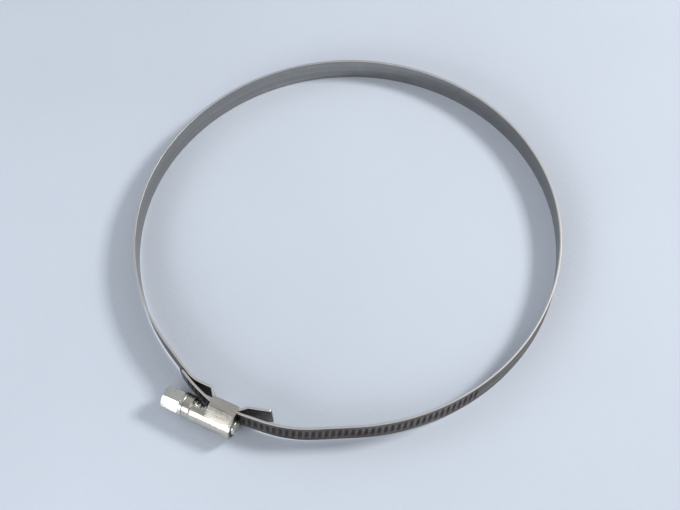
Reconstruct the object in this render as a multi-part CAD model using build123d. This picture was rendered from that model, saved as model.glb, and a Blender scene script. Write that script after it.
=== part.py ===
from build123d import *
from math import atan, cos, degrees, floor, pi, radians, sin, sqrt, tan
import os

# Worm-drive hose clamp with a 9 mm band, lying on the edge of its ring.
# Z is the axis of the ring and the hose, and the origin is the ring's centre. The housing is on
# the -Y side, with its screw along X and the hex head towards -X. "Depth" is the distance
# outwards from the centre of the ring, towards -Y.
# Lengths are in millimetres and angles in degrees.

# ---- band -------------------------------------------------------------------------------
band_width = 9.0
band_thickness = 0.7
band_corner = 0.8  # corner radius at the cut tongue end
tail_corner = 2.2  # corner radius at the free end, which has to thread into the housing
ring_inner_radius = 70.0  # the round stretch, which is most of the ring
fixed_leave_angle = 243.0  # where the fixed end leaves the circle in a straight run
feed_leave_angle = 298.0  # where the threaded end joins the circle

# ---- pressed thread in the band ------------------------------------------------------------
thread_pitch = 2.0
groove_depth = 0.45
groove_length = 6.4  # across the band
thread_end_angle = 331.0  # the last groove on the ring
tail_plain = 2.6  # plain stretch at the free end

# ---- housing, one folded sheet -------------------------------------------------------------
housing_x = -5.7  # middle of the box along the screw
housing_length = 9.0
housing_standoff = 1.4  # the floor's underside lies this far outside the ring's inner circle
sheet = 0.8
side_height = 3.65  # from the floor's underside to the shoulder
bend_radius = 1.0  # outside radius of the folds
side_clearance = 0.2  # between a band edge and a side wall
layer_clearance = 0.05  # between the floor, the fixed band and the sliding band
floor_relief = 1.1  # the floor stops short of the box's ends, where the band cranks over it
seam_gap = 0.2  # the two folded flanges of the floor meet here
neck_length = 7.75  # from the box to the end of the bearing ring
bearing_length = 2.4
crimp = 0.3  # the bearing ring is pinched in by this much
crimp_taper = 0.5
window_depth = 0.55  # the window in the neck is open to this far past the screw's axis
window_corner = 2.0

# ---- worm screw --------------------------------------------------------------------------
worm_radius = 3.2
worm_thread_height = 0.8
worm_crest_width = 0.7
worm_flank_spread = 0.3  # each flank widens by this much down to the root
worm_root_sink = 0.1  # the thread starts this far inside the core
mesh_clearance = 0.05  # between the worm's crest or flanks and the band's grooves
running_clearance = 0.1
collar_radius = 3.9
collar_length = 1.3
end_play = 0.1  # axial gap on each side of the bearing ring
shoulder_length = 0.6
hex_across_flats = 7.0
hex_length = 6.05
hex_turn = 47.6  # turns the corners of the head about the screw
hex_chamfer_radius = 3.2  # of the flat end inside the chamfer
hex_chamfer_angle = 30.0
slot_width = 1.2
slot_depth = 1.7
tip_overhang = 0.9  # the screw's end stands out of the box
tip_chamfer = 0.5

# ---- cranks in the fixed end --------------------------------------------------------------
heel_gap = 2.3  # the heel before the housing ends this far from the box
heel_crank_run = 2.8
heel_radius = 12.0
crank_radius = 0.9
tongue_crank_start = 0.2  # how far inside the box the tongue's crank begins
tongue_crank_run = 2.15
tongue_crank_rise = 1.85
tongue_tip_x = 7.8
tongue_reach = 0.05  # the tip presses this far into the ring's inner circle

# ---- run of the threaded end ---------------------------------------------------------------
feed_rise = 5.7  # slope of the band as it comes into the housing
feed_bend_radius = 25.0
exit_radius = 8.0
exit_overhang = 0.4  # the bends at the box's ends start this far outside it
tail_bend_radius = 3.0
tail_slope_run = 7.7  # along the screw, from the box to where the tail turns to lie along the ring
tail_sweep_run = 4.7  # from that corner to where its wide curve starts
tail_run = 7.9
tail_gap = 0.35  # between the free end and the band that it lies along

# ---- sizes that follow ---------------------------------------------------------------------
ring_radius = ring_inner_radius + band_thickness / 2  # middle of the strip
box_left = housing_x - housing_length / 2
box_right = housing_x + housing_length / 2
neck_left = box_left - neck_length
housing_width = band_width + 2 * (side_clearance + sheet)

floor_depth = ring_inner_radius + housing_standoff
fixed_depth = floor_depth + sheet + layer_clearance + band_thickness / 2
sliding_depth = fixed_depth + band_thickness + layer_clearance
land_depth = sliding_depth + band_thickness / 2
worm_bottom_depth = land_depth - groove_depth + mesh_clearance
axis_depth = worm_bottom_depth + worm_radius
shoulder_depth = floor_depth + side_height
tube_bore = worm_radius + running_clearance
tube_radius = tube_bore + sheet
worm_root_radius = worm_radius - worm_thread_height
journal_radius = tube_bore - crimp - running_clearance


def tangent_point(angle, depth):
    """The point at a depth on the line that touches the ring's circle at an angle."""
    a = radians(angle)
    return Vector((ring_radius + depth * sin(a)) / cos(a), -depth)


def ring_point(angle):
    """A point on the middle line of the round stretch."""
    return Vector(ring_radius * cos(radians(angle)), ring_radius * sin(radians(angle)))


def fixed_end_line():
    """Middle line of the fixed end: straight run, heel, crank over the floor, box, crank, tongue."""
    heel_x = box_left - heel_gap
    heel_depth = sqrt(ring_radius**2 - heel_x**2)
    crank_x = box_right - tongue_crank_start
    tongue_depth = fixed_depth - tongue_crank_rise
    tip_face = sqrt((ring_inner_radius - tongue_reach) ** 2 - tongue_tip_x**2)
    rise = (tongue_depth - tip_face) / (tongue_tip_x - crank_x - tongue_crank_run)
    tip_depth = tip_face + band_thickness / 2 * sqrt(1 + rise**2)
    return FilletPolyline(
        ring_point(fixed_leave_angle),
        tangent_point(fixed_leave_angle, heel_depth),
        (heel_x, -heel_depth),
        (heel_x + heel_crank_run, -fixed_depth),
        (crank_x, -fixed_depth),
        (crank_x + tongue_crank_run, -tongue_depth),
        (tongue_tip_x, -tip_depth),
        radius=[heel_radius, crank_radius, crank_radius, crank_radius, crank_radius],
    )


def sliding_end_line():
    """Middle line of the threaded end, from the tip of the tail through the box to the ring."""
    leave = Vector(box_left - exit_overhang, -sliding_depth)
    enter = Vector(box_right + exit_overhang, -sliding_depth)
    a = radians(fixed_leave_angle)
    along = Vector(sin(a), -cos(a))
    outside = ring_radius + band_thickness + tail_gap
    sweep_x = box_left - tail_slope_run
    sweep = Vector(sweep_x, (outside - sweep_x * cos(a)) / sin(a))
    sweep_radius = tail_sweep_run / tan(radians((sweep - leave).get_angle(along) / 2))
    b = radians(feed_leave_angle)
    rise = tan(radians(feed_rise))
    bend_x = (ring_radius + (sliding_depth + rise * enter.X) * sin(b)) / (cos(b) + rise * sin(b))
    bend = Vector(bend_x, -sliding_depth + rise * (bend_x - enter.X))
    return FilletPolyline(
        sweep + along * tail_run,
        sweep,
        leave,
        enter,
        bend,
        ring_point(feed_leave_angle),
        radius=[sweep_radius, tail_bend_radius, exit_radius, feed_bend_radius],
    )


def thicken(edge, half=band_thickness / 2):
    """The section of the strip along one straight or round piece of its middle line."""
    across = [(edge % t).rotate(Axis.Z, 90) * half for t in (0, 0.5, 1)]
    left = [edge @ t + shift for t, shift in zip((0, 0.5, 1), across)]
    right = [edge @ t - shift for t, shift in zip((0, 0.5, 1), across)]
    if edge.geom_type == GeomType.LINE:
        return make_face(Polyline(left[0], left[2], right[2], right[0], close=True))
    sides = [ThreePointArc(*left), Line(left[2], right[2])]
    return make_face(sides + [ThreePointArc(*right), Line(right[0], left[0])])


def rounded_end(line, at, inwards, corner):
    """What is cut off the strip's end so that its two corners are round."""
    tip = line @ at
    along = (line % at) * inwards
    plane = Plane(tip, x_dir=along, z_dir=along.cross(Vector(0, 0, 1)))
    length = 2 * corner
    blank = Pos(corner, 0) * Rectangle(length, 2 * band_width)
    kept = Rectangle(2 * length, band_width)
    kept = Pos(length, 0) * fillet(kept.vertices().group_by(Axis.X)[0], corner)
    return extrude(plane * (blank - kept), amount=band_thickness, both=True)


def groove_places(line):
    """Where the grooves cross the middle line, one pitch apart, with one at the middle of the box."""
    box_middle = line.length * line.param_at_point(Vector(housing_x, -sliding_depth))
    first = box_middle - thread_pitch * floor((box_middle - tail_plain) / thread_pitch)
    arc = ring_radius * radians(thread_end_angle - feed_leave_angle)
    count = floor((line.length + arc - first) / thread_pitch)
    return [first + thread_pitch * i for i in range(count + 1)]


def grooves(line):
    """The edges of the discs that press slanted grooves into the outside of the threaded end."""
    lead = degrees(atan(thread_pitch / (2 * pi * worm_radius)))
    width = worm_crest_width + 2 * mesh_clearance
    width += 2 * worm_flank_spread * groove_depth / worm_thread_height
    press_radius = (groove_length**2 / 4 + groove_depth**2) / (2 * groove_depth)
    disc = Pos(0, 0, press_radius - groove_depth) * Rot(0, 90, 0) * Cylinder(press_radius, width)
    press = Rot(0, 0, -lead) * (disc & Box(2 * width, 2 * groove_length, 2 * groove_depth))
    cutters = []
    for place in groove_places(line):
        if place <= line.length:
            point = line.position_at(place, position_mode=PositionMode.LENGTH)
            along = line.tangent_at(place, position_mode=PositionMode.LENGTH)
        else:
            turn = feed_leave_angle + degrees((place - line.length) / ring_radius)
            point = ring_point(turn)
            along = Vector(-sin(radians(turn)), cos(radians(turn)))
        outwards = along.cross(Vector(0, 0, 1))
        face = Plane(point + outwards * band_thickness / 2, x_dir=along, z_dir=outwards)
        cutters += (face * press).solids()
    return cutters


def make_band():
    """The whole band, which is one strip: tongue, cranks, ring, threaded end and tail."""
    fixed = fixed_end_line()
    sliding = sliding_end_line()
    far_side = ring_point((fixed_leave_angle + feed_leave_angle) / 2 - 180)
    ring = ThreePointArc(ring_point(feed_leave_angle), far_side, ring_point(fixed_leave_angle))
    edges = fixed.edges() + sliding.edges() + [ring]
    strip = Part() + [extrude(thicken(edge), amount=band_width / 2, both=True) for edge in edges]
    strip -= rounded_end(fixed, 1, -1, band_corner)
    strip -= rounded_end(sliding, 0, 1, tail_corner)
    return strip - grooves(sliding)


def housing_outline():
    """Outside of the housing's section across the screw, with depth towards -X and Z towards +Y."""
    box_middle = (floor_depth + shoulder_depth) / 2
    box = Pos(-box_middle, 0) * Rectangle(side_height, housing_width)
    tube = Pos(-axis_depth, 0) * Circle(tube_radius)
    outline = make_hull(box.edges() + tube.edges())
    rows = outline.vertices().group_by(Axis.Y)
    return fillet(rows[0] + rows[-1], bend_radius)


def make_housing():
    """One sheet folded round the screw and closed under the band, with a neck for the head."""
    outline = housing_outline()
    section = Plane.YZ * (outline - offset(outline, amount=-sheet))
    box = Pos(box_left, 0, 0) * extrude(section, amount=housing_length)
    relief = Box(2 * floor_relief, 2 * bend_radius, housing_width - 2 * sheet)
    box -= Pos(box_left, -floor_depth, 0) * relief
    box -= Pos(box_right, -floor_depth, 0) * relief
    box -= Pos(housing_x, -floor_depth, 0) * Box(housing_length, 3 * sheet, seam_gap)
    bearing_end = neck_left + bearing_length
    flare_end = bearing_end + crimp_taper
    wall = Polyline(
        (neck_left, tube_bore - crimp),
        (bearing_end, tube_bore - crimp),
        (flare_end, tube_bore),
        (box_left, tube_bore),
        (box_left, tube_radius),
        (flare_end, tube_radius),
        (bearing_end, tube_radius - crimp),
        (neck_left, tube_radius - crimp),
        close=True,
    )
    neck = Pos(0, -axis_depth, 0) * revolve(make_face(wall), Axis.X, 360)
    window_length = box_left - bearing_end
    window_edge = axis_depth + window_depth
    window = Rectangle(window_length, 2 * window_edge)
    window = fillet(window.vertices().group_by(Axis.Y)[0], window_corner)
    neck -= Pos(box_left - window_length / 2, 0, 0) * extrude(window, amount=tube_radius, both=True)
    return box + neck


def worm_thread(turns):
    """The screw's right-hand thread about Z, which starts on the X side."""
    root = worm_root_radius - worm_root_sink
    half_crest = worm_crest_width / 2
    half_root = half_crest + worm_flank_spread * (worm_radius - root) / worm_thread_height
    flanks = make_face(
        Polyline(
            (root, -half_root),
            (worm_radius, -half_crest),
            (worm_radius, half_crest),
            (root, half_root),
            close=True,
        )
    )
    helix = Helix(thread_pitch, thread_pitch * turns, worm_radius)
    return sweep(Plane.XZ * flanks, helix, is_frenet=True)


def make_worm_screw():
    """Hex head, collar, journal in the bearing ring, shoulder, and the worm that drives the band."""
    head_end = neck_left - end_play - collar_length - hex_length
    collar_start = head_end + hex_length
    journal_start = neck_left - end_play
    shoulder_start = neck_left + bearing_length + crimp_taper + end_play
    core_start = shoulder_start + shoulder_length
    tip = box_right + tip_overhang
    shank = Polyline(
        (collar_start, 0),
        (collar_start, collar_radius),
        (journal_start, collar_radius),
        (journal_start, journal_radius),
        (shoulder_start, journal_radius),
        (shoulder_start, worm_radius),
        (core_start, worm_radius),
        (core_start, worm_root_radius),
        (tip - tip_chamfer, worm_root_radius),
        (tip, worm_root_radius - tip_chamfer),
        (tip, 0),
        close=True,
    )
    screw = revolve(make_face(shank), Axis.X, 360)
    across_corners = hex_across_flats / cos(radians(30))
    hexagon = Plane.YZ * Rot(0, 0, hex_turn) * RegularPolygon(across_corners / 2, 6)
    cone_length = (across_corners / 2 - hex_chamfer_radius) * tan(radians(hex_chamfer_angle))
    crown = Polyline(
        (head_end, 0),
        (head_end, hex_chamfer_radius),
        (head_end + cone_length, across_corners / 2),
        (collar_start, across_corners / 2),
        (collar_start, 0),
        close=True,
    )
    head = Pos(head_end, 0, 0) * extrude(hexagon, amount=hex_length)
    head &= revolve(make_face(crown), Axis.X, 360)
    slot = Box(2 * slot_depth, slot_width, 3 * collar_radius)
    head -= Pos(head_end, 0, 0) * Rot(hex_turn, 0, 0) * slot
    turns_before = floor((housing_x - core_start) / thread_pitch)
    turns_after = floor((box_right - housing_x) / thread_pitch)
    thread_start = housing_x - thread_pitch * turns_before
    seat = Plane(origin=(thread_start, 0, 0), x_dir=(0, 1, 0), z_dir=(1, 0, 0))
    screw += seat * worm_thread(turns_before + turns_after)
    return Pos(0, -axis_depth, 0) * (screw + head)


os.makedirs("parts", exist_ok=True)
export_step(make_band(), "parts/band.step")
export_step(make_housing(), "parts/housing.step")
export_step(make_worm_screw(), "parts/worm_screw.step")
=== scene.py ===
"""Looks of a worm-drive hose clamp, laid out as an add-on: one operator per piece and one for the stage."""

from math import acos, asin, atan2, ceil, cos, floor, hypot, pi, radians, sin, sqrt, tan

import bmesh
import bpy
from mathutils import Matrix, Vector


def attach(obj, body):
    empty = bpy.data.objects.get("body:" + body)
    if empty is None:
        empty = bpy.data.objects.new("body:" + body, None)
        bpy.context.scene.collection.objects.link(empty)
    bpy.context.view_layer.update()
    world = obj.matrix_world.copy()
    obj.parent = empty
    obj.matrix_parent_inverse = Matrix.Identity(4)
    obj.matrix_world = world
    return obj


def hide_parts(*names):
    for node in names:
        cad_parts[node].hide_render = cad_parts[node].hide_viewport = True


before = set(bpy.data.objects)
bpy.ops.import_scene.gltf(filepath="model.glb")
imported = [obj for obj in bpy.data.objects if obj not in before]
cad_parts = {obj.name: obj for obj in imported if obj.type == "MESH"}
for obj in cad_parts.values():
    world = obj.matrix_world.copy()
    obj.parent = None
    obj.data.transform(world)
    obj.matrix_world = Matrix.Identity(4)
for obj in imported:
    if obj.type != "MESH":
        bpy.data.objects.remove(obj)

bl_info = {
    "name": "Worm-drive hose clamp",
    "version": (1, 0, 0),
    "blender": (4, 5, 0),
    "location": "View3D > Sidebar > Hose Clamp",
    "description": "Builds the band, housing and worm screw of a hose clamp, and its stage",
    "category": "Object",
}

MM = 0.001
UP = Vector((0, 0, 1))


# ---- settings ---------------------------------------------------------------------------------


def size(label, text, mm):
    """A length that the user can change, given in millimetres."""
    return bpy.props.FloatProperty(
        name=label, description=text, default=mm * MM, unit="LENGTH", precision=5
    )


def angle(label, text, deg):
    """An angle that the user can change, given in degrees."""
    return bpy.props.FloatProperty(
        name=label, description=text, default=radians(deg), unit="ROTATION"
    )


def number(label, text, value):
    """A plain number that the user can change."""
    return bpy.props.FloatProperty(name=label, description=text, default=value)


def colour(label, text, value):
    """A colour that the user can change, in linear light."""
    return bpy.props.FloatVectorProperty(
        name=label, description=text, default=value, subtype="COLOR", size=3, min=0, max=1
    )


class BandSizes(bpy.types.PropertyGroup):
    """The strip, where it runs, and the thread pressed into it. Depths are from the ring's centre."""

    width: size("Width", "Width of the strip", 9.0)
    thickness: size("Thickness", "Thickness of the strip", 0.7)
    edge: size("Edge", "Rounding of the sheared edges", 0.13)
    ring: size("Ring radius", "Inner radius of the round stretch", 70.0)
    fixed_leave: angle("Fixed end leaves at", "Where the fixed end leaves the circle", 243)
    feed_leave: angle("Thread leaves at", "Where the threaded end joins the circle", 298)
    fixed_depth: size("Fixed layer", "Depth of the fixed end in the box", 72.6)
    sliding_depth: size("Sliding layer", "Depth of the threaded end in the box", 73.35)
    heel_gap: size("Heel gap", "From the box to the heel of the fixed end", 2.3)
    heel_run: size("Heel crank", "Length of the crank from the heel to the box", 2.8)
    heel_radius: size("Heel radius", "Bend at the heel", 12.0)
    crank_radius: size("Crank radius", "Bends of the cranks", 0.9)
    crank_start: size("Tongue start", "How far inside the box the tongue's crank begins", 0.2)
    crank_run: size("Tongue crank", "Length of the tongue's crank", 2.15)
    crank_rise: size("Tongue rise", "Height of the tongue's crank", 2.1)
    tongue_tip: size("Tongue tip", "Where the tongue ends along the screw", 7.8)
    tongue_reach: size("Tongue reach", "The free tip springs this far into the circle", 1.46)
    tongue_corner: size("Tongue corner", "Corner radius at the cut tongue end", 0.8)
    feed_rise: angle("Feed slope", "Slope of the strip as it enters the box", 5.7)
    feed_bend: size("Feed bend", "Bend where the slope meets the ring", 42.0)
    exit_radius: size("Exit bend", "Bend at the box's ring side", 8.0)
    tail_bend: size("Tail bend", "Bend at the box's head side", 3.0)
    overhang: size("Bend overhang", "The bends start this far outside the box", 0.4)
    tail_slope: size("Tail slope run", "From the box to where the tail turns along the ring", 7.7)
    tail_sweep: size("Tail sweep", "Length of the wide curve on each side of that turn", 4.7)
    tail_run: size("Tail run", "From that turn to the free end", 7.9)
    tail_gap: size("Tail gap", "Between the tail and the strip it lies along", 0.35)
    tail_corner: size("Tail corner", "Corner radius at the free end", 2.2)
    pitch: size("Pitch", "Pitch of the pressed thread", 2.0)
    groove_depth: size("Groove depth", "Depth of the pressed grooves", 0.43)
    groove_length: size("Groove length", "Length of a groove across the strip", 6.4)
    groove_width: size("Groove width", "Width of a groove at the surface", 1.14)
    groove_wall: size("Groove wall", "Run of a groove's rounded walls", 0.2)
    thread_end: angle("Thread ends at", "The last groove on the ring", 331)
    tail_plain: size("Tail plain", "Plain stretch at the free end", 2.6)
    fine_step: size("Fine step", "Mesh step along the pressed thread", 0.125)
    ring_step: size("Ring step", "Mesh step along the plain ring", 1.0)
    end_step: size("End step", "Mesh step along the cranked end", 0.16)
    across: bpy.props.IntProperty(
        name="Across", description="Mesh steps across the strip's outside", default=30
    )


class HousingSizes(bpy.types.PropertyGroup):
    """The folded sheet round the screw. Depths are from the ring's centre."""

    middle: size("Middle", "Middle of the box along the screw", -5.7)
    length: size("Length", "Length of the box", 9.0)
    width: size("Width", "Outside width of the box", 11.0)
    floor_depth: size("Floor", "Depth of the floor's underside", 71.4)
    side: size("Side", "Height of the flat sides", 3.65)
    sheet: size("Sheet", "Thickness of the sheet", 0.8)
    bend: size("Bend", "Outside radius of the folds", 1.0)
    seam: size("Seam", "Gap between the floor's flanges", 0.2)
    relief: size("Relief", "The floor stops this far inside the box's ends", 1.1)
    tube: size("Tube", "Outside radius over the screw", 4.1)
    neck: size("Neck", "Length of the neck towards the head", 7.75)
    bearing: size("Bearing", "Length of the bearing ring", 2.4)
    crimp: size("Crimp", "The bearing ring is pinched in by this much", 0.3)
    taper: size("Taper", "Length of the taper next to the bearing ring", 0.5)
    window: size("Window", "The window is open to this far past the axis", 0.55)
    window_corner: size("Window corner", "Corner radius of the window", 2.0)
    edge: size("Edge", "Rounding of the cut edges", 0.1)


class ScrewSizes(bpy.types.PropertyGroup):
    """The worm screw, along its axis."""

    axis_depth: size("Axis", "Depth of the screw's axis", 76.5)
    head_end: size("Head end", "Where the head starts", -25.4)
    hex_length: size("Hex length", "Length of the hexagon", 6.05)
    across_flats: size("Across flats", "Width of the hexagon across its flats", 7.0)
    turn: angle("Head turn", "Turns the hexagon about the axis", 47.6)
    chamfer_radius: size("Chamfer circle", "Flat end inside the hexagon's chamfer", 3.2)
    chamfer: angle("Chamfer", "Slope of the hexagon's chamfer", 30)
    slot_width: size("Slot width", "Width of the driver slot", 1.2)
    slot_depth: size("Slot depth", "Depth of the driver slot", 1.7)
    slot_turn: angle("Slot turn", "Direction of the driver slot about the axis", 107.6)
    collar: size("Collar", "Radius of the collar", 3.9)
    collar_length: size("Collar length", "Length of the collar", 1.3)
    journal: size("Journal", "Radius in the bearing ring", 2.9)
    journal_length: size("Journal length", "Length of the journal", 3.1)
    shoulder_length: size("Shoulder", "Length of the shoulder", 0.6)
    worm: size("Worm", "Radius over the thread", 3.2)
    root: size("Root", "Radius of the core", 2.4)
    crest: size("Crest", "Width of the thread's crest", 0.7)
    flank: size("Flank", "Each flank widens by this much to the root", 0.3)
    pitch: size("Pitch", "Pitch of the worm", 2.0)
    before: size("Thread before", "Thread from its start to the middle of the box", 8.0)
    after: size("Thread after", "Thread from the middle of the box to its end", 4.0)
    root_sink: size("Root sink", "The thread starts this far inside the core", 0.1)
    fade: number("Thread fade", "Turns over which each end of the thread sinks into the core", 0.2)
    tip: size("Tip", "Where the screw ends", -0.3)
    tip_chamfer: size("Tip chamfer", "Chamfer at the tip", 0.5)
    edge: size("Edge", "Rounding of the edges", 0.12)


class Finishes(bpy.types.PropertyGroup):
    """Colours of the metals."""

    strip: colour("Strip", "Rolled strip", (0.29, 0.29, 0.285))
    strip_worn: colour("Strip, worn", "Rubbed patches of the strip", (0.43, 0.42, 0.40))
    # lighter sheared edges: partly bright cut metal, partly a painted highlight along the rim
    strip_edge_wear_and_highlight: colour("Strip, edge", "Sheared edges of the strip", (0.60, 0.59, 0.56))
    # dark brown of the outer face: partly film, partly a painted dark reflection of a shaded floor
    strip_film_and_dark_reflection: colour("Strip, film", "Brown film on the strip's outside", (0.105, 0.088, 0.072))
    # dark brown in the grooves: film that gathers there, and painted shade in the hollows
    strip_stain_and_groove_shade: colour("Strip, stain", "Brown film in the strip's grooves", (0.07, 0.055, 0.045))
    sheet: colour("Sheet", "Pressed sheet of the housing", (0.66, 0.64, 0.58))
    sheet_dull: colour("Sheet, dull", "Dulled areas of the sheet", (0.42, 0.40, 0.33))
    plate: colour("Plate", "Plated screw", (0.70, 0.72, 0.69))
    plate_green: colour("Plate, tint", "Greenish tint of the plate", (0.46, 0.49, 0.40))


class StageSizes(bpy.types.PropertyGroup):
    """Floor, lights and camera."""

    rest_front: size("Rest, front", "Height of the edge the clamp rests on at the housing", -5.5)
    rest_back: size("Rest, back", "Height of the far edge the clamp rests on", -4.5)
    front_y: size("Front edge", "Where the front edge rests", -72.9)
    back_y: size("Back edge", "Where the far edge rests", 70.7)
    floor: colour("Floor", "Colour of the floor", (0.60, 0.66, 0.76))
    target: bpy.props.FloatVectorProperty(
        name="Target",
        description="Point the camera looks at",
        default=(0.435 * MM, -6.307 * MM, -4.5 * MM),
        subtype="TRANSLATION",
    )
    azimuth: angle("Azimuth", "The camera's bearing round the clamp", 28.83)
    elevation: angle("Elevation", "The camera's height above the horizon", 59.97)
    roll: angle("Roll", "The camera's roll", -3.5)
    distance: size("Distance", "From the camera to the target", 369.0)
    lens: number("Lens", "Focal length in millimetres on a 36 mm wide sensor", 58.24)
    room: number("Room light", "Strength of the even light all round", 0.52)


# ---- geometry helpers -------------------------------------------------------------------------


def housing_sizes():
    """The housing's settings, which the strip and the screw fit."""
    return bpy.context.scene.clamp_housing


def screw_sizes():
    """The screw's settings, which the strip and the housing fit."""
    return bpy.context.scene.clamp_screw


def rounded(points, radii, step=radians(6)):
    """The points of a polyline with its inner corners rounded, each arc cut into even steps."""
    out = [Vector(points[0])]
    for before, corner, after, radius in zip(points, points[1:], points[2:], radii):
        corner = Vector(corner)
        u = (Vector(before) - corner).normalized()
        v = (Vector(after) - corner).normalized()
        turn = pi - u.angle(v)
        reach = radius * tan(turn / 2)
        centre = corner + (u + v).normalized() * (radius / cos(turn / 2))
        first = corner + u * reach - centre
        sign = 1 if u.x * v.y - u.y * v.x < 0 else -1
        count = max(2, ceil(turn / step))
        for i in range(count + 1):
            spin = Matrix.Rotation(sign * turn * i / count, 2)
            out.append(centre + spin @ first)
    out.append(Vector(points[-1]))
    return out


def scene_object(name, data):
    """A new object in the scene with this mesh, light or camera."""
    obj = bpy.data.objects.new(name, data)
    bpy.context.scene.collection.objects.link(obj)
    return obj


def mesh_object(name, verts, faces):
    """A new mesh object from points and faces."""
    mesh = bpy.data.meshes.new(name)
    mesh.from_pydata([tuple(v) for v in verts], [], faces)
    mesh.validate()
    mesh.update()
    return scene_object(name, mesh)


def tube_faces(columns, rows):
    """Faces between columns of points that each close on themselves, with a lid over each end."""
    faces = []
    for c in range(columns - 1):
        for r in range(rows):
            n = (r + 1) % rows
            faces.append((c * rows + r, c * rows + n, (c + 1) * rows + n, (c + 1) * rows + r))
    faces.append(tuple(range(rows)))
    last = columns * rows
    faces.append(tuple(reversed(range(last - rows, last))))
    return faces


def lathe(name, start, rings, end):
    """A closed mesh about the X axis, from rings of (x, radius) points between two points on the axis."""
    steps = len(rings[0])
    verts = [(start, 0, 0)]
    for ring in rings:
        for i, (x, r) in enumerate(ring):
            a = 2 * pi * i / steps
            verts.append((x, r * cos(a), r * sin(a)))
    verts.append((end, 0, 0))
    last = 1 + (len(rings) - 1) * steps
    faces = []
    for i in range(steps):
        n = (i + 1) % steps
        faces.append((0, 1 + n, 1 + i))
        for c in range(len(rings) - 1):
            a = 1 + c * steps
            b = a + steps
            faces.append((a + i, a + n, b + n, b + i))
        faces.append((last + i, last + n, len(verts) - 1))
    return mesh_object(name, verts, faces)


def block(name, sizes, place):
    """A box about the origin, moved by a matrix."""
    mesh = bpy.data.meshes.new(name)
    bm = bmesh.new()
    bmesh.ops.create_cube(bm, size=1, matrix=place @ Matrix.Diagonal((*sizes, 1)))
    bm.to_mesh(mesh)
    bm.free()
    return scene_object(name, mesh)


def bevel_edges(obj, width, limit):
    """Rounds the edges that bend by more than the limit."""
    modifier = obj.modifiers.new("Edges", "BEVEL")
    modifier.width = width
    modifier.segments = 3
    modifier.limit_method = "ANGLE"
    modifier.angle_limit = limit


def bake(obj, sharp):
    """Turns the object's modifiers into a plain mesh with normals outward and sharp edges marked."""
    depsgraph = bpy.context.evaluated_depsgraph_get()
    mesh = bpy.data.meshes.new_from_object(obj.evaluated_get(depsgraph), depsgraph=depsgraph)
    obj.modifiers.clear()
    obj.data = mesh
    bm = bmesh.new()
    bm.from_mesh(mesh)
    bmesh.ops.remove_doubles(bm, verts=bm.verts, dist=1e-7)
    bmesh.ops.recalc_face_normals(bm, faces=bm.faces)
    bm.to_mesh(mesh)
    bm.free()
    mesh.shade_smooth()
    mesh.set_sharp_from_angle(angle=sharp)


def join(objects, name):
    """One object from several, in place."""
    first = objects[0]
    with bpy.context.temp_override(
        active_object=first, object=first, selected_editable_objects=objects
    ):
        bpy.ops.object.join()
    first.name = name
    first.data.name = name
    return first


def hand_over(obj, material, body, node):
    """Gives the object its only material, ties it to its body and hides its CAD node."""
    obj.data.materials.clear()
    obj.data.materials.append(material)
    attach(obj, body)
    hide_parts(node)


# ---- node helpers -----------------------------------------------------------------------------


class Nodes:
    """Short ways to add and join nodes in one tree."""

    def __init__(self, tree):
        self.tree = tree

    def add(self, kind, inputs=None, **values):
        """A node with its settings, and its inputs set to values or linked to other nodes' outputs."""
        node = self.tree.nodes.new(kind)
        for key, value in values.items():
            setattr(node, key, value)
        for key, value in (inputs or {}).items():
            socket = node.inputs[key]
            if isinstance(value, bpy.types.NodeSocket):
                self.tree.links.new(value, socket)
            else:
                socket.default_value = value
        return node

    def math(self, operation, *values):
        """The result of an operation on numbers."""
        return self.add("ShaderNodeMath", dict(enumerate(values)), operation=operation).outputs[0]

    def vector(self, operation, *values):
        """The result of an operation on vectors."""
        return self.add("ShaderNodeVectorMath", dict(enumerate(values)), operation=operation).outputs[0]

    def mix(self, factor, a, b):
        """A colour between two others."""
        return self.add("ShaderNodeMix", {0: factor, 6: a, 7: b}, data_type="RGBA").outputs[2]

    def ramp(self, value, low, high):
        """0 below the low end, 1 above the high end, and even between them."""
        return self.add("ShaderNodeMapRange", {0: value, 1: low, 2: high}, clamp=True).outputs[0]


def geometry_group(name, inputs):
    """A geometry node group with named inputs, and (nodes, group input, group output, sockets)."""
    tree = bpy.data.node_groups.new(name, "GeometryNodeTree")
    tree.interface.new_socket("Geometry", in_out="INPUT", socket_type="NodeSocketGeometry")
    sockets = {}
    for label, kind in inputs:
        sockets[label] = tree.interface.new_socket(label, in_out="INPUT", socket_type=kind)
    tree.interface.new_socket("Geometry", in_out="OUTPUT", socket_type="NodeSocketGeometry")
    nodes = Nodes(tree)
    return nodes, nodes.add("NodeGroupInput"), nodes.add("NodeGroupOutput"), sockets


def apply_group(obj, nodes, sockets, values):
    """Puts the group on the object, with each input set by its socket's identifier."""
    modifier = obj.modifiers.new(nodes.tree.name, "NODES")
    modifier.node_group = nodes.tree
    for label, value in values.items():
        modifier[sockets[label].identifier] = value
    obj.update_tag()
    bpy.context.view_layer.update()


# ---- finishes ---------------------------------------------------------------------------------


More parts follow.
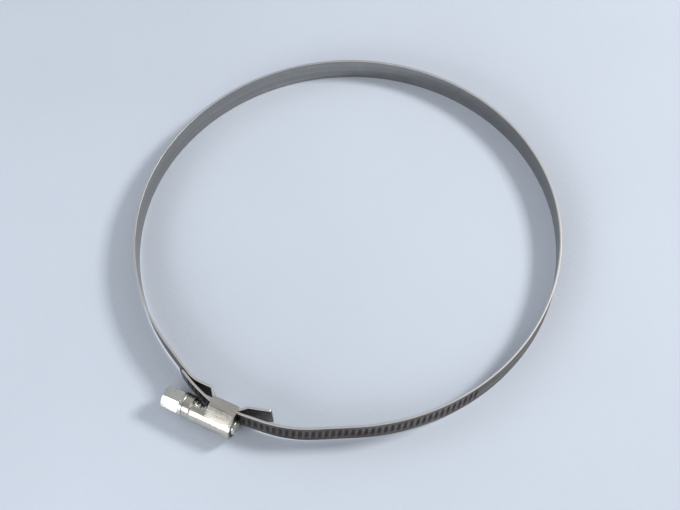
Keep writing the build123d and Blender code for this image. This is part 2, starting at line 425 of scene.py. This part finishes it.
def metal(name, tint, worn, roughness, streak, along=None, layers=()):
    """Brushed metal: fine streaks, broad tones along them, rubbed patches, grain and shallow scratches.

    The streak says how often the grain repeats along each axis, in Object coordinates or those of
    the attribute it follows. Each layer is a function that adds nodes and gives back a colour and
    where it lies.
    """
    material = bpy.data.materials.new(name)
    material.use_nodes = True
    tree = material.node_tree
    tree.nodes.clear()
    n = Nodes(tree)
    if along:
        place = n.add("ShaderNodeAttribute", attribute_name=along).outputs["Vector"]
    else:
        place = n.add("ShaderNodeTexCoord").outputs["Object"]

    def noise(vector, scale, detail):
        """Cloudy values at this place."""
        inputs = {"Vector": vector, "Scale": scale, "Detail": detail, "Roughness": 0.6}
        return n.add("ShaderNodeTexNoise", inputs).outputs[0]

    def streaks(share, detail):
        """Cloudy values drawn out along the grain, at a share of its fineness."""
        stretched = n.vector("MULTIPLY", place, tuple(share * c for c in streak))
        return noise(stretched, 1.0, detail)

    lines = streaks(1.0, 4.0)
    tones = streaks(0.14, 3.0)
    scratches = n.ramp(streaks(0.45, 1.0), 0.66, 0.7)
    clouds = noise(place, 210.0, 5.0)
    specks = noise(place, 5200.0, 2.0)
    rub = n.math("MULTIPLY", n.ramp(tones, 0.38, 0.66), n.ramp(lines, 0.3, 0.7))
    rub = n.math("ADD", n.math("MULTIPLY", rub, 0.75), n.math("MULTIPLY", n.ramp(clouds, 0.5, 0.7), 0.25))
    base = n.mix(rub, (*tint, 1), (*worn, 1))
    dark = tuple(0.5 * c for c in tint)
    base = n.mix(n.math("MULTIPLY", n.ramp(specks, 0.6, 0.76), 0.3), base, (*dark, 1))
    base = n.mix(n.math("MULTIPLY", scratches, 0.35), base, (*worn, 1))
    rough = n.math("ADD", roughness, n.math("MULTIPLY", n.math("SUBTRACT", clouds, 0.5), 0.22))
    rough = n.math("ADD", rough, n.math("MULTIPLY", n.math("SUBTRACT", lines, 0.5), 0.14))
    for layer in layers:
        shade, mask = layer(n)
        base = n.mix(mask, base, (*shade, 1))
        rough = n.math("ADD", rough, n.math("MULTIPLY", mask, 0.16))
    height = n.math("ADD", n.math("MULTIPLY", lines, 0.7), n.math("MULTIPLY", specks, 0.3))
    height = n.math("SUBTRACT", height, n.math("MULTIPLY", scratches, 0.5))
    bump = n.add("ShaderNodeBump", {"Height": height, "Distance": 0.000018, "Strength": 0.5})
    shader = n.add(
        "ShaderNodeBsdfPrincipled",
        {"Base Color": base, "Roughness": rough, "Metallic": 1.0, "Normal": bump.outputs[0]},
    )
    n.add("ShaderNodeOutputMaterial", {"Surface": shader.outputs[0]})
    return material


# ---- band -------------------------------------------------------------------------------------


def band_line(s):
    """Middle line of the strip from the tail's tip, through the box and round the ring, to the tongue."""
    r = s.ring + s.thickness / 2
    box = housing_sizes()
    box_left = box.middle - box.length / 2
    box_right = box.middle + box.length / 2

    def on_ring(a):
        """The point of the strip's circle at this angle."""
        return Vector((r * cos(a), r * sin(a)))

    leave = Vector((box_left - s.overhang, -s.sliding_depth))
    enter = Vector((box_right + s.overhang, -s.sliding_depth))
    a = s.fixed_leave
    along = Vector((sin(a), -cos(a)))
    outside = r + s.thickness + s.tail_gap
    sweep_x = box_left - s.tail_slope
    sweep = Vector((sweep_x, (outside - sweep_x * cos(a)) / sin(a)))
    sweep_radius = s.tail_sweep / tan((sweep - leave).angle(along) / 2)
    b = s.feed_leave
    rise = tan(s.feed_rise)
    bend_x = (r + (s.sliding_depth + rise * enter.x) * sin(b)) / (cos(b) + rise * sin(b))
    bend = Vector((bend_x, -s.sliding_depth + rise * (bend_x - enter.x)))
    sliding = rounded(
        [sweep + along * s.tail_run, sweep, leave, enter, bend, on_ring(b)],
        [sweep_radius, s.tail_bend, s.exit_radius, s.feed_bend],
        radians(2),
    )
    turns = 2 * pi - (b - a)
    count = ceil(turns / radians(0.5))
    ring = [on_ring(b + turns * i / count) for i in range(1, count)]
    heel_x = box_left - s.heel_gap
    heel_depth = sqrt(r**2 - heel_x**2)
    crank_x = box_right - s.crank_start
    tongue_depth = s.fixed_depth - s.crank_rise
    tip_face = sqrt((s.ring - s.tongue_reach) ** 2 - s.tongue_tip**2)
    fall = (tongue_depth - tip_face) / (s.tongue_tip - crank_x - s.crank_run)
    tip_depth = tip_face + s.thickness / 2 * sqrt(1 + fall**2)
    tangent_x = (r + heel_depth * sin(a)) / cos(a)
    fixed = rounded(
        [
            on_ring(a),
            (tangent_x, -heel_depth),
            (heel_x, -heel_depth),
            (heel_x + s.heel_run, -s.fixed_depth),
            (crank_x, -s.fixed_depth),
            (crank_x + s.crank_run, -tongue_depth),
            (s.tongue_tip, -tip_depth),
        ],
        [s.heel_radius, s.crank_radius, s.crank_radius, s.crank_radius, s.crank_radius],
        radians(4),
    )
    box_point = Vector((box.middle, -s.sliding_depth))
    return sliding, ring, fixed, box_point


def line_length(points):
    """Length of a polyline."""
    return sum((q - p).length for p, q in zip(points, points[1:]))


def length_to(points, mark):
    """Length along the points up to the one straight piece that holds the mark."""
    total = 0
    for p, q in zip(points, points[1:]):
        if abs((mark - p).length + (q - mark).length - (q - p).length) < 1e-7:
            return total + (mark - p).length
        total += (q - p).length
    raise ValueError("the mark isn't on the line")


def strip_section(s):
    """The strip's cross-section as (y, z) points: a rectangle with rounded edges, its faces cut finely."""
    y = s.thickness / 2 - s.edge
    z = s.width / 2 - s.edge
    steps = 3
    section = []
    for cy, cz, start in ((y, z, 0), (y, -z, pi / 2), (-y, -z, pi), (-y, z, 3 * pi / 2)):
        for i in range(steps + 1):
            a = start + pi / 2 * i / steps
            section.append((cy + s.edge * sin(a), cz + s.edge * cos(a)))
        if start in (0, pi):
            count = 10 if start else s.across
            side = section[-1][0]
            section += [(side, cz * (1 - 2 * i / count)) for i in range(1, count)]
    return section


def flat_strip(s, total, fine, plain, lead):
    """The strip before it is bent: X along it, Y outwards, Z across. Its ends are closed and round.

    Its rows of points lean with the grooves, except at the ends, so that the grooves come out smooth.
    """
    half_w = s.width / 2
    section = strip_section(s)
    places = []
    x = 0.0
    while x < fine:
        places.append(x)
        x += s.fine_step
    while x < fine + plain:
        places.append(x)
        x += s.ring_step
    while x < total:
        places.append(x)
        x += s.end_step
    places.append(total)

    def squeeze(x, corner, end):
        """How far the section is narrowed near a round-cornered end."""
        near = abs(x - end)
        if near >= corner:
            return 0.0
        return corner - sqrt(max(0.0, corner**2 - (corner - near) ** 2))

    verts = []
    for x in places:
        cut = squeeze(x, s.tail_corner, 0.0) + squeeze(x, s.tongue_corner, total)
        factor = (half_w - cut) / half_w
        lean = lead * min(1.0, x / s.tail_plain, (total - x) / s.tail_plain)
        verts += [(x + lean * z * factor, y, z * factor) for y, z in section]
    return verts, tube_faces(len(places), len(section))


def strip_group():
    """Presses the thread into a flat strip, then bends the strip along a line."""
    nodes, given, out, sockets = geometry_group(
        "Strip Along Line",
        [
            ("Line", "NodeSocketObject"),
            ("Pitch", "NodeSocketFloat"),
            ("First", "NodeSocketFloat"),
            ("Last", "NodeSocketFloat"),
            ("Depth", "NodeSocketFloat"),
            ("Half Length", "NodeSocketFloat"),
            ("Half Width", "NodeSocketFloat"),
            ("Wall", "NodeSocketFloat"),
            ("Lead", "NodeSocketFloat"),
            ("Material", "NodeSocketMaterial"),
        ],
    )
    i = given.outputs
    n = nodes
    xyz = n.add("ShaderNodeSeparateXYZ", {0: n.add("GeometryNodeInputPosition").outputs[0]}).outputs
    x, y, z = xyz[0], xyz[1], xyz[2]
    shifted = n.math("SUBTRACT", n.math("SUBTRACT", x, i["First"]), n.math("MULTIPLY", z, i["Lead"]))
    turns = n.math("DIVIDE", shifted, i["Pitch"])
    off = n.math("ABSOLUTE", n.math("SUBTRACT", turns, n.math("ROUND", turns)))
    off = n.math("MULTIPLY", off, i["Pitch"])
    inner = n.math("SUBTRACT", i["Half Width"], i["Wall"])
    wall = n.add("ShaderNodeMapRange", {0: off, 1: inner, 2: i["Half Width"], 3: 1.0, 4: 0.0})
    wall.interpolation_type = "SMOOTHSTEP"
    span = n.math("DIVIDE", z, i["Half Length"])
    bow = n.math("MAXIMUM", n.math("SUBTRACT", 1.0, n.math("MULTIPLY", span, span)), 0.0)
    reach = n.math("MULTIPLY", i["Pitch"], 0.5)
    starts = n.math("GREATER_THAN", shifted, n.math("MULTIPLY", reach, -1.0))
    ends = n.math("LESS_THAN", shifted, n.math("ADD", n.math("SUBTRACT", i["Last"], i["First"]), reach))
    outside = n.math("GREATER_THAN", y, 0.0)
    press = n.math("MULTIPLY", n.math("MULTIPLY", wall.outputs[0], bow), n.math("MULTIPLY", starts, ends))
    press = n.math("MULTIPLY", press, outside)
    low = n.math("SUBTRACT", y, n.math("MULTIPLY", press, i["Depth"]))
    strip = n.add("ShaderNodeCombineXYZ", {0: x, 1: y, 2: z}).outputs[0]
    keep = n.add(
        "GeometryNodeStoreNamedAttribute",
        {"Geometry": i["Geometry"], "Name": "strip", "Value": strip},
        data_type="FLOAT_VECTOR",
        domain="POINT",
    )
    pressed = n.add(
        "GeometryNodeStoreNamedAttribute",
        {"Geometry": keep.outputs[0], "Name": "pressed", "Value": press},
        data_type="FLOAT",
        domain="POINT",
    )
    info = n.add("GeometryNodeObjectInfo", {"Object": i["Line"]}, transform_space="ORIGINAL")
    line = n.add("GeometryNodeMeshToCurve", {0: info.outputs["Geometry"]})
    sample = n.add(
        "GeometryNodeSampleCurve", {"Curves": line.outputs[0], "Length": x}, mode="LENGTH"
    )
    tangent = sample.outputs["Tangent"]
    outward = n.vector("CROSS_PRODUCT", tangent, (0.0, 0.0, 1.0))
    outward = n.vector("NORMALIZE", outward)
    scaled = n.add("ShaderNodeVectorMath", {0: outward, "Scale": low}, operation="SCALE").outputs[0]
    raised = n.add("ShaderNodeCombineXYZ", {2: z}).outputs[0]
    place = n.vector("ADD", n.vector("ADD", sample.outputs["Position"], scaled), raised)
    moved = n.add("GeometryNodeSetPosition", {"Geometry": pressed.outputs[0], "Position": place})
    real = n.add("GeometryNodeRealizeInstances", {0: moved.outputs[0]})
    finished = n.add(
        "GeometryNodeSetMaterial", {"Geometry": real.outputs[0], "Material": i["Material"]}
    )
    nodes.tree.links.new(finished.outputs[0], out.inputs[0])
    return nodes, sockets


def band_metal(f, s):
    """The strip's metal: a brown film on its outside, darkened into a painted dark reflection of shade,
    thick in the grooves with painted shade there, and bright sheared edges that carry a painted highlight.
    """

    def lie(n, axis):
        """Distance from the strip's middle: axis 1 through it and axis 2 across it."""
        place = n.add("ShaderNodeAttribute", attribute_name="strip").outputs["Vector"]
        return n.add("ShaderNodeSeparateXYZ", {0: place}).outputs[axis]

    def outside(n):
        """Dark brown on the outer face, in streaks along the strip: partly film, partly a painted dark
        reflection of a shaded floor.
        """
        face = n.ramp(lie(n, 1), 0.0, s.thickness / 3)
        place = n.add("ShaderNodeAttribute", attribute_name="strip").outputs["Vector"]
        place = n.vector("MULTIPLY", place, (85.0, 420.0, 420.0))
        cloud = n.add("ShaderNodeTexNoise", {"Vector": place, "Scale": 1.0, "Detail": 5.0}).outputs[0]
        return f.strip_film_and_dark_reflection, n.math("MULTIPLY", face, n.ramp(cloud, -0.15, 0.75))

    def grooves(n):
        """Dark brown in the pressed grooves: film that gathers there, and painted shade in the hollows."""
        deep = n.add("ShaderNodeAttribute", attribute_name="pressed").outputs["Fac"]
        return f.strip_stain_and_groove_shade, n.math("MULTIPLY", n.ramp(deep, 0.02, 0.7), 0.85)

    def edges(n):
        """Lighter sheared edges: partly the bright cut metal, partly a painted highlight along the rim."""
        rim = n.math("ABSOLUTE", lie(n, 2))
        return f.strip_edge_wear_and_highlight, n.ramp(rim, s.width / 2 - 2 * s.edge, s.width / 2 - s.edge)

    streak = (70.0, 8000.0, 8000.0)
    layers = (outside, grooves, edges)
    return metal("Rolled strip", f.strip, f.strip_worn, 0.32, streak, "strip", layers)


class BuildBand(bpy.types.Operator):
    """Build the strip with its pressed thread and bend it along its line"""

    bl_idname = "clamp.build_band"
    bl_label = "Build band"

    def execute(self, context):
        s = context.scene.clamp_band
        sliding, ring, fixed, box_point = band_line(s)
        points = sliding + ring + fixed
        edges = [(i, i + 1) for i in range(len(points) - 1)]
        mesh = bpy.data.meshes.new("band_line")
        mesh.from_pydata([(p.x, p.y, 0) for p in points], edges, [])
        line = scene_object("band_line", mesh)
        total = line_length(points)
        middle = length_to(sliding, box_point)
        first = middle - s.pitch * floor((middle - s.tail_plain) / s.pitch)
        arc = (s.ring + s.thickness / 2) * (s.thread_end - s.feed_leave)
        last = first + s.pitch * floor((line_length(sliding) + arc - first) / s.pitch)
        fine = last + s.pitch
        plain = total - fine - line_length(fixed)
        lead = s.pitch / (2 * pi * screw_sizes().worm)
        strip, faces = flat_strip(s, total, fine, plain, lead)
        band = mesh_object("band_look", strip, faces)
        rolled = band_metal(context.scene.clamp_finish, s)
        nodes, sockets = strip_group()
        apply_group(
            band,
            nodes,
            sockets,
            {
                "Line": line,
                "Pitch": s.pitch,
                "First": first,
                "Last": last,
                "Depth": s.groove_depth,
                "Half Length": s.groove_length / 2,
                "Half Width": s.groove_width / 2,
                "Wall": s.groove_wall,
                "Lead": lead,
                "Material": rolled,
            },
        )
        bake(band, radians(50))
        bpy.data.objects.remove(line)
        hand_over(band, rolled, "root", "band")
        return {"FINISHED"}


# ---- housing ----------------------------------------------------------------------------------


class Sheet:
    """Points and faces of a folded sheet's outer surface, in which a point is known by its key."""

    def __init__(self, axis_depth):
        self.axis_depth = axis_depth
        self.verts = []
        self.faces = []
        self.index = {}

    def point(self, key, x, z, d):
        """Index of the point at x along the screw, z across it and d outwards of its axis."""
        if key not in self.index:
            self.index[key] = len(self.verts)
            self.verts.append((x, -(self.axis_depth + d), z))
        return self.index[key]

    def face(self, corners):
        """A face between points, each given as (key, x, z, d)."""
        self.faces.append([self.point(*corner) for corner in corners])


def corners_of(c, r, n):
    """Column and row of a face's four corners, between column c and the next, and rows r and n."""
    return (c, r), (c, n), (c + 1, n), (c + 1, r)


def box_outline(s, axis):
    """Cross-section of the box as (z, d) points: right side, arc over the screw and left side.

    Also gives the angle at which the arc starts.
    """
    half = s.width / 2
    low = axis - s.floor_depth
    shoulder = low - s.side
    tangent = acos(s.tube / hypot(half, shoulder)) - atan2(shoulder, half)
    on_tube = (s.tube * cos(tangent), s.tube * sin(tangent))
    side = rounded(
        [(s.seam / 2, -low), (half, -low), (half, -shoulder), on_tube],
        [s.bend, s.bend],
        radians(9),
    )
    steps = 24
    turns = [tangent + (pi - 2 * tangent) * i / steps for i in range(steps + 1)]
    right = [(p.x, p.y) for p in side[:-1]]
    arc = [(s.tube * cos(a), s.tube * sin(a)) for a in turns]
    left = [(-z, d) for z, d in reversed(right)]
    return right, arc, left, tangent


def add_box(sheet, s, outline):
    """The box. Its floor is left out at both ends, where the strip cranks over it.

    Gives the number of its last column of points, where the neck starts.
    """
    inner = 12
    right = s.middle + s.length / 2
    run = s.length - 2 * s.relief
    stops = [right - s.relief - run * i / inner for i in range(inner + 1)]
    stops = [right, *stops, s.middle - s.length / 2]
    lower_fold = 0.35 * s.bend
    floor_limit = s.floor_depth - sheet.axis_depth + lower_fold
    for c in range(len(stops) - 1):
        at_end = c in (0, len(stops) - 2)
        for r in range(len(outline) - 1):
            if at_end and max(outline[r][1], outline[r + 1][1]) < floor_limit:
                continue
            spots = corners_of(c, r, r + 1)
            sheet.face([(("box", column, k), stops[column], *outline[k]) for column, k in spots])
    return len(stops) - 1


def neck_stops(s, rim):
    """Distances from the box to the neck's columns of points, close together in the window's corners."""
    turns = [pi / 2 * i / 8 for i in range(9)]
    stops = [s.window_corner * (1 - cos(a)) for a in turns]
    straight = rim - 2 * s.window_corner
    stops += [s.window_corner + straight * i / 4 for i in range(1, 4)]
    stops += [rim - s.window_corner * (1 - sin(a)) for a in turns]
    stops.append(rim - s.taper)
    return sorted({round(stop, 9) for stop in stops})


def neck_row(s, rim, run, kept, column, shared):
    """Points (key, z, d) round the neck at this distance from the box, between the window's edges.

    Those inside the kept half angle carry on the box's arc, and in column 0 they are its points.
    """
    near = max(0.0, s.window_corner - min(run, rim - run))
    open_to = s.window - s.window_corner + sqrt(max(0.0, s.window_corner**2 - near**2))
    limit = pi / 2 - asin(open_to / s.tube)
    r = s.tube - s.crimp * min(1.0, max(0.0, (run - rim + s.taper) / s.taper))
    outer = 8
    arc = len(shared)
    turns = [limit - (limit - kept) * i / outer for i in range(outer)]
    turns += [kept - 2 * kept * i / (arc - 1) for i in range(arc)]
    turns += [-kept - (limit - kept) * i / outer for i in range(1, outer + 1)]
    keys = [("neck", column, i) for i in range(len(turns))]
    if column == 0:
        keys[outer : outer + arc] = shared
    return [(key, r * sin(a), r * cos(a)) for key, a in zip(keys, turns)]


def add_neck(sheet, s, kept, shared):
    """The neck with its window, which starts on points that it shares with the box. Gives its last row."""
    left = s.middle - s.length / 2
    rim = s.neck - s.bearing
    stops = neck_stops(s, rim)
    rows = [neck_row(s, rim, run, kept, c, shared) for c, run in enumerate(stops)]
    for c in range(len(stops) - 1):
        for r in range(len(rows[c]) - 1):
            corners = []
            for column, k in corners_of(c, r, r + 1):
                key, z, d = rows[column][k]
                corners.append((key, left - stops[column], z, d))
            sheet.face(corners)
    return rows[-1]


def add_bearing_ring(sheet, s, row):
    """The pinched ring that closes the neck's end round the journal."""
    start = s.middle - s.length / 2 - s.neck + s.bearing
    r = s.tube - s.crimp
    limit = atan2(row[0][1], row[0][2])
    closing = 14
    columns = 5
    turns = [-limit - (2 * pi - 2 * limit) * i / closing for i in range(1, closing)]
    lip = row + [(("lip", i), r * sin(a), r * cos(a)) for i, a in enumerate(turns)]
    for c in range(columns):
        for k in range(len(lip)):
            corners = []
            for column, spot in corners_of(c, k, (k + 1) % len(lip)):
                key, z, d = lip[spot]
                if column:
                    key = ("bearing", column, spot)
                corners.append((key, start - s.bearing * column / columns, z, d))
            sheet.face(corners)


def face_outwards(mesh):
    """Turns the sheet's faces to its outer side, so that its thickness goes inwards."""
    bm = bmesh.new()
    bm.from_mesh(mesh)
    bmesh.ops.recalc_face_normals(bm, faces=bm.faces)
    outermost = max(bm.faces, key=lambda face: -face.calc_center_median().y)
    if outermost.normal.y > 0:
        bmesh.ops.reverse_faces(bm, faces=bm.faces)
    bm.to_mesh(mesh)
    bm.free()


class BuildHousing(bpy.types.Operator):
    """Build the folded housing with its neck, window and bearing ring"""

    bl_idname = "clamp.build_housing"
    bl_label = "Build housing"

    def execute(self, context):
        s = context.scene.clamp_housing
        f = context.scene.clamp_finish
        sheet = Sheet(screw_sizes().axis_depth)
        right, arc, left, tangent = box_outline(s, sheet.axis_depth)
        end = add_box(sheet, s, right + arc + left)
        shared = [("box", end, len(right) + i) for i in range(len(arc))]
        row = add_neck(sheet, s, pi / 2 - tangent, shared)
        add_bearing_ring(sheet, s, row)
        housing = mesh_object("housing_look", sheet.verts, sheet.faces)
        face_outwards(housing.data)
        solid = housing.modifiers.new("Sheet", "SOLIDIFY")
        solid.thickness = s.sheet
        solid.offset = -1
        solid.use_even_offset = True
        bevel_edges(housing, s.edge, radians(55))
        bake(housing, radians(38))
        streak = (600.0, 5200.0, 5200.0)
        pressed = metal("Pressed sheet", f.sheet, f.sheet_dull, 0.24, streak)
        hand_over(housing, pressed, "root", "housing")
        return {"FINISHED"}


# ---- worm screw -------------------------------------------------------------------------------


def shank(s):
    """Collar, journal, shoulder and core, in one turned piece."""
    e = s.edge
    collar_start = s.head_end + s.hex_length
    journal_start = collar_start + s.collar_length
    shoulder = journal_start + s.journal_length
    core = shoulder + s.shoulder_length
    profile = rounded(
        [
            (collar_start - 2 * e, 0),
            (collar_start, s.collar),
            (journal_start, s.collar),
            (journal_start, s.journal),
            (shoulder, s.journal),
            (shoulder, s.worm),
            (core, s.worm),
            (core, s.root),
            (s.tip - s.tip_chamfer, s.root),
            (s.tip, s.root - s.tip_chamfer),
            (s.tip, 0),
        ],
        [2.5 * e, 2.5 * e, e / 3, e / 3, e, e, e, e, e],
        radians(24),
    )
    rings = [[(p.x, p.y)] * 96 for p in profile[1:-1]]
    body = lathe("shank", profile[0].x, rings, profile[-1].x)
    bake(body, radians(30))
    return body


def hex_head(s):
    """Hexagon with a chamfered end and a driver slot, closed, about the X axis."""
    start = s.head_end
    end = start + s.hex_length
    steps = 120
    folds = [(2 * pi * i / steps - s.turn) % (pi / 3) - pi / 6 for i in range(steps)]
    radii = [s.across_flats / 2 / cos(fold) for fold in folds]
    rings = [
        [(start, s.chamfer_radius)] * steps,
        [(start + max(0.0, r - s.chamfer_radius) * tan(s.chamfer), r) for r in radii],
        [(end, r) for r in radii],
    ]
    head = lathe("head", start, rings, end)
    place = Matrix.Translation((start, 0, 0)) @ Matrix.Rotation(s.slot_turn, 4, "X")
    cutter = block("slot", (2 * s.slot_depth, s.slot_width, 3 * s.collar), place)
    cut = head.modifiers.new("Slot", "BOOLEAN")
    cut.object = cutter
    cut.operation = "DIFFERENCE"
    cut.solver = "EXACT"
    bevel_edges(head, s.edge, radians(25))
    bake(head, radians(30))
    bpy.data.objects.remove(cutter)
    return head


def coil_group():
    """Winds a straight strip about the X axis: its X is turned into turns, and its Y into radius."""
    nodes, given, out, sockets = geometry_group(
        "Coil About Axis",
        [
            ("Pitch", "NodeSocketFloat"),
            ("Start", "NodeSocketFloat"),
            ("Turns", "NodeSocketFloat"),
            ("Fade", "NodeSocketFloat"),
            ("Root", "NodeSocketFloat"),
            ("Material", "NodeSocketMaterial"),
        ],
    )
    i = given.outputs
    n = nodes
    xyz = n.add("ShaderNodeSeparateXYZ", {0: n.add("GeometryNodeInputPosition").outputs[0]}).outputs
    turn, radius, side = xyz[0], xyz[1], xyz[2]
    ahead = n.math("MINIMUM", turn, n.math("SUBTRACT", i["Turns"], turn))
    grown = n.add("ShaderNodeMapRange", {0: ahead, 1: 0.0, 2: i["Fade"], 3: 0.0, 4: 1.0})
    grown.interpolation_type = "SMOOTHSTEP"
    height = n.math("MULTIPLY", n.math("SUBTRACT", radius, i["Root"]), grown.outputs[0])
    r = n.math("ADD", i["Root"], height)
    a = n.math("MULTIPLY", turn, 2 * pi)
    x = n.math("ADD", n.math("ADD", i["Start"], n.math("MULTIPLY", turn, i["Pitch"])), side)
    place = n.add(
        "ShaderNodeCombineXYZ",
        {
            0: x,
            1: n.math("MULTIPLY", r, n.math("COSINE", a)),
            2: n.math("MULTIPLY", r, n.math("SINE", a)),
        },
    ).outputs[0]
    moved = n.add("GeometryNodeSetPosition", {"Geometry": i["Geometry"], "Position": place})
    real = n.add("GeometryNodeRealizeInstances", {0: moved.outputs[0]})
    finished = n.add(
        "GeometryNodeSetMaterial", {"Geometry": real.outputs[0], "Material": i["Material"]}
    )
    nodes.tree.links.new(finished.outputs[0], out.inputs[0])
    return nodes, sockets


def worm(s, material):
    """The thread: its section laid out straight, then wound about the axis."""
    e = s.edge
    half = s.crest / 2
    height = s.worm - s.root
    low = s.root - s.root_sink
    foot = half + s.flank * (height + s.root_sink) / height
    brow = half + s.flank * e / height
    section = [
        (low, -foot),
        (s.worm - e, -brow),
        (s.worm, e / 2 - half),
        (s.worm, half - e / 2),
        (s.worm - e, brow),
        (low, foot),
    ]
    turns = (s.before + s.after) / s.pitch
    count = int(72 * turns)
    verts = [(turns * i / count, r, x) for i in range(count + 1) for r, x in section]
    thread = mesh_object("worm", verts, tube_faces(count + 1, len(section)))
    nodes, sockets = coil_group()
    apply_group(
        thread,
        nodes,
        sockets,
        {
            "Pitch": s.pitch,
            "Start": housing_sizes().middle - s.before,
            "Turns": turns,
            "Fade": s.fade,
            "Root": low,
            "Material": material,
        },
    )
    bake(thread, radians(40))
    return thread


class BuildScrew(bpy.types.Operator):
    """Build the worm screw with its hexagon head, collar and thread"""

    bl_idname = "clamp.build_screw"
    bl_label = "Build worm screw"

    def execute(self, context):
        s = context.scene.clamp_screw
        f = context.scene.clamp_finish
        streak = (3000.0, 900.0, 900.0)
        plated = metal("Plated steel", f.plate, f.plate_green, 0.28, streak)
        screw = join([shank(s), hex_head(s), worm(s, plated)], "worm_screw_look")
        screw.data.transform(Matrix.Translation((0, -s.axis_depth, 0)))
        hand_over(screw, plated, "screw", "worm_screw")
        return {"FINISHED"}


# ---- stage ------------------------------------------------------------------------------------


def floor_finish(tint):
    """A matt floor with faint clouds and a fine weave."""
    material = bpy.data.materials.new("Floor cloth")
    material.use_nodes = True
    material.node_tree.nodes.clear()
    n = Nodes(material.node_tree)
    place = n.add("ShaderNodeTexCoord").outputs["Object"]
    clouds = n.add("ShaderNodeTexNoise", {"Vector": place, "Scale": 9.0, "Detail": 4.0}).outputs[0]
    weave = n.add("ShaderNodeTexNoise", {"Vector": place, "Scale": 900.0, "Detail": 2.0}).outputs[0]
    dark = tuple(0.88 * c for c in tint)
    base = n.mix(n.math("MULTIPLY", n.ramp(clouds, 0.3, 0.7), 0.5), (*tint, 1), (*dark, 1))
    bump = n.add("ShaderNodeBump", {"Height": weave, "Distance": 0.0002, "Strength": 0.3})
    shader = n.add(
        "ShaderNodeBsdfPrincipled",
        {"Base Color": base, "Roughness": 0.9, "Normal": bump.outputs[0]},
    )
    n.add("ShaderNodeOutputMaterial", {"Surface": shader.outputs[0]})
    return material


def area_light(name, position, aim, width, height, watts, tint):
    """A rectangular lamp that points at its aim."""
    data = bpy.data.lights.new(name, "AREA")
    data.shape = "RECTANGLE"
    data.size = width
    data.size_y = height
    data.energy = watts
    data.color = tint
    light = scene_object(name, data)
    light.location = position
    light.rotation_euler = (Vector(aim) - Vector(position)).to_track_quat("-Z", "Y").to_euler()
    return light


def add_floor(s):
    """A plain floor, tilted so that it touches both edges that the clamp rests on."""
    slope = (s.rest_back - s.rest_front) / (s.back_y - s.front_y)
    reach = 3.0
    corners = [(-reach, -reach), (reach, -reach), (reach, reach), (-reach, reach)]
    verts = [(x, y, s.rest_front + slope * (y - s.front_y)) for x, y in corners]
    ground = mesh_object("floor", verts, [(0, 1, 2, 3)])
    ground.data.materials.append(floor_finish(s.floor))


def add_camera(s, right, ahead):
    """The camera, which looks down at its target from its bearing."""
    look = ahead * cos(s.elevation) - UP * sin(s.elevation)
    side = right * cos(s.roll) + right.cross(look) * sin(s.roll)
    data = bpy.data.cameras.new("camera")
    data.lens = s.lens
    data.sensor_width = 36
    data.clip_start = 0.01
    matrix = Matrix((side, side.cross(look), -look)).transposed().to_4x4()
    matrix.translation = Vector(s.target) - look * s.distance
    camera = scene_object("camera", data)
    camera.matrix_world = matrix
    bpy.context.scene.camera = camera


def set_world(s, bright_side):
    """An even room that is brighter on one side."""
    world = bpy.data.worlds.new("room")
    world.use_nodes = True
    world.node_tree.nodes.clear()
    n = Nodes(world.node_tree)
    direction = n.add("ShaderNodeTexCoord").outputs["Generated"]
    facing = n.add("ShaderNodeVectorMath", {0: direction, 1: bright_side}, operation="DOT_PRODUCT")
    shade = n.ramp(facing.outputs["Value"], -0.8, 0.9)
    sky = n.mix(shade, (0.20, 0.20, 0.21, 1), (0.95, 0.97, 1.0, 1))
    background = n.add("ShaderNodeBackground", {0: sky, 1: s.room})
    n.add("ShaderNodeOutputWorld", {"Surface": background.outputs[0]})
    bpy.context.scene.world = world


class SetStage(bpy.types.Operator):
    """Set the floor, the lights and the camera"""

    bl_idname = "clamp.set_stage"
    bl_label = "Set stage"

    def execute(self, context):
        s = context.scene.clamp_stage
        ahead = Vector((-sin(s.azimuth), cos(s.azimuth), 0))
        right = Vector((cos(s.azimuth), sin(s.azimuth), 0))

        def towards(side, depth, up):
            """A place beside, beyond and above the clamp, as the camera sees it."""
            return right * side + ahead * depth + UP * up

        aim = (0, 0, 0)
        lights = [
            area_light("key", towards(0.66, 0.12, 0.6), aim, 0.2, 0.2, 5.6, (1, 0.98, 0.94)),
            area_light("window", towards(-0.44, -0.48, 0.28), aim, 0.55, 0.36, 2.6, (1, 1, 1)),
            area_light("fill", towards(-0.7, 0.3, 0.6), aim, 0.5, 0.4, 1.0, (0.9, 0.95, 1)),
        ]
        add_floor(s)
        add_camera(s, right, ahead)
        set_world(s, towards(0.4, 0.7, 0.6))
        context.scene.view_settings.view_transform = "Standard"
        return {"FINISHED"}


# ---- panel and registration -------------------------------------------------------------------


class ClampPanel(bpy.types.Panel):
    """Buttons that build the clamp and its stage"""

    bl_idname = "CLAMP_PT_build"
    bl_label = "Hose clamp"
    bl_space_type = "VIEW_3D"
    bl_region_type = "UI"
    bl_category = "Hose Clamp"

    def draw(self, context):
        for operator in (BuildBand, BuildHousing, BuildScrew, SetStage):
            self.layout.operator(operator.bl_idname)


GROUPS = {
    "clamp_band": BandSizes,
    "clamp_housing": HousingSizes,
    "clamp_screw": ScrewSizes,
    "clamp_finish": Finishes,
    "clamp_stage": StageSizes,
}
CLASSES = (*GROUPS.values(), BuildBand, BuildHousing, BuildScrew, SetStage, ClampPanel)


def register():
    """Registers the classes and hangs the settings on the scene."""
    for cls in CLASSES:
        bpy.utils.register_class(cls)
    for name, cls in GROUPS.items():
        setattr(bpy.types.Scene, name, bpy.props.PointerProperty(type=cls))


def unregister():
    """Takes back what register did."""
    for name in GROUPS:
        delattr(bpy.types.Scene, name)
    for cls in reversed(CLASSES):
        bpy.utils.unregister_class(cls)


def main():
    """Builds every piece and the stage."""
    register()
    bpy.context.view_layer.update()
    bpy.ops.clamp.build_band()
    bpy.ops.clamp.build_housing()
    bpy.ops.clamp.build_screw()
    bpy.ops.clamp.set_stage()


if __name__ == "__main__":
    main()
